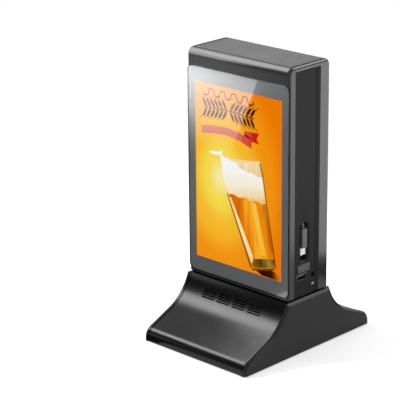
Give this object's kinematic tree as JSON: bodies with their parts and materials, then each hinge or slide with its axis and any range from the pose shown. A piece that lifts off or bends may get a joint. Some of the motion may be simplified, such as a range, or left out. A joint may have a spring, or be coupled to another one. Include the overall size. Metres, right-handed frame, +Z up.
{
  "type": "tabletop display stand",
  "caption": "Upright tabletop screen tower on a flared loudspeaker base, with a stowed charging lead and sockets in its side.",
  "frame": {"origin": "middle of the base, on the table top", "axes": "+Z up; the screen looks along -Y; +X is the side with the stowed lead and the sockets"},
  "size_m": [0.13, 0.1774, 0.2762],
  "materials": {
    "gloss_black": "glossy moulded black plastic",
    "matte_black": "fine-textured matte black plastic",
    "cap_black": "coarse-textured matte dark grey plastic",
    "base_black": "satin black plastic",
    "screen_glass": "clear cover glass with a printed black border",
    "tape": "black foam tape",
    "lcd": "display picture in orange and yellow",
    "reflector_white": "white backlight housing",
    "sheet_steel": "bright pressed steel",
    "board_green": "solder-masked circuit board",
    "chip_black": "moulded chip package",
    "flex_amber": "polyimide film",
    "lead_grey": "dark grey flexible jacket",
    "plug_white": "white moulded plug",
    "nickel": "nickel-plated shell",
    "socket_black": "black insulator",
    "light_clear": "clear light pipe",
    "button_black": "satin black button",
    "seal_black": "black rubber gasket",
    "foot_rubber": "black rubber",
    "zinc_steel": "zinc-plated steel",
    "ballast_steel": "black-oxide steel plate",
    "cell_wrap": "blue cell wrap",
    "speaker_black": "speaker frame and cone",
    "loom_black": "sleeved wires"
  },
  "bodies": {
    "stand": {"front_housing": "gloss_black", "rear_housing": "gloss_black", "cover_glass": "screen_glass", "glass_tape": "tape", "lcd_panel": "lcd", "backlight_unit": "reflector_white", "lcd_bracket": "sheet_steel", "top_cap": "cap_black", "right_side_panel": "matte_black", "left_side_panel": "matte_black", "charge_lead": "lead_grey", "lead_grommet": "seal_black", "lead_overmould": "lead_grey", "lead_plug": "plug_white", "charger_board": "board_green", "charger_standoffs": "zinc_steel", "lead_terminal": "socket_black", "usb_socket": "nickel", "usb_tongue": "socket_black", "usb_support": "socket_black", "power_jack": "socket_black", "light_pipe": "light_clear", "tact_switches": "socket_black", "button_board": "board_green", "button_board_clip": "sheet_steel", "main_board": "board_green", "board_posts": "zinc_steel", "board_screws": "zinc_steel", "board_chips": "chip_black", "display_flex": "flex_amber", "front_skirt": "base_black", "rear_skirt": "base_black", "left_cheek": "base_black", "right_cheek": "base_black", "base_tray": "matte_black", "foot_front_left": "foot_rubber", "foot_front_right": "foot_rubber", "foot_rear_left": "foot_rubber", "foot_rear_right": "foot_rubber", "base_deck": "matte_black", "tower_gasket": "seal_black", "tower_stiffener": "sheet_steel", "tower_bolts": "zinc_steel", "housing_screws": "zinc_steel", "base_screws": "zinc_steel", "left_speaker": "speaker_black", "right_speaker": "speaker_black", "speaker_gaskets": "tape", "ballast_plate": "ballast_steel", "battery_cradle": "matte_black", "battery_cells": "cell_wrap", "protection_board": "board_green", "wiring_loom": "loom_black"},
    "power": {"power_button": "button_black", "power_switch_stem": "socket_black"},
    "volume_up": {"volume_up_button": "button_black", "volume_up_switch_stem": "socket_black"},
    "volume_down": {"volume_down_button": "button_black", "volume_down_switch_stem": "socket_black"}
  },
  "joints": [
    {"name": "power_press", "type": "slide", "parent": "stand", "child": "power", "axis": [1, 0, 0], "range_m": [0, 0.0006], "stiffness_N_per_m": 1500},
    {"name": "volume_up_press", "type": "slide", "parent": "stand", "child": "volume_up", "axis": [1, 0, 0], "range_m": [0, 0.0006], "stiffness_N_per_m": 1500},
    {"name": "volume_down_press", "type": "slide", "parent": "stand", "child": "volume_down", "axis": [1, 0, 0], "range_m": [0, 0.0006], "stiffness_N_per_m": 1500}
  ]
}
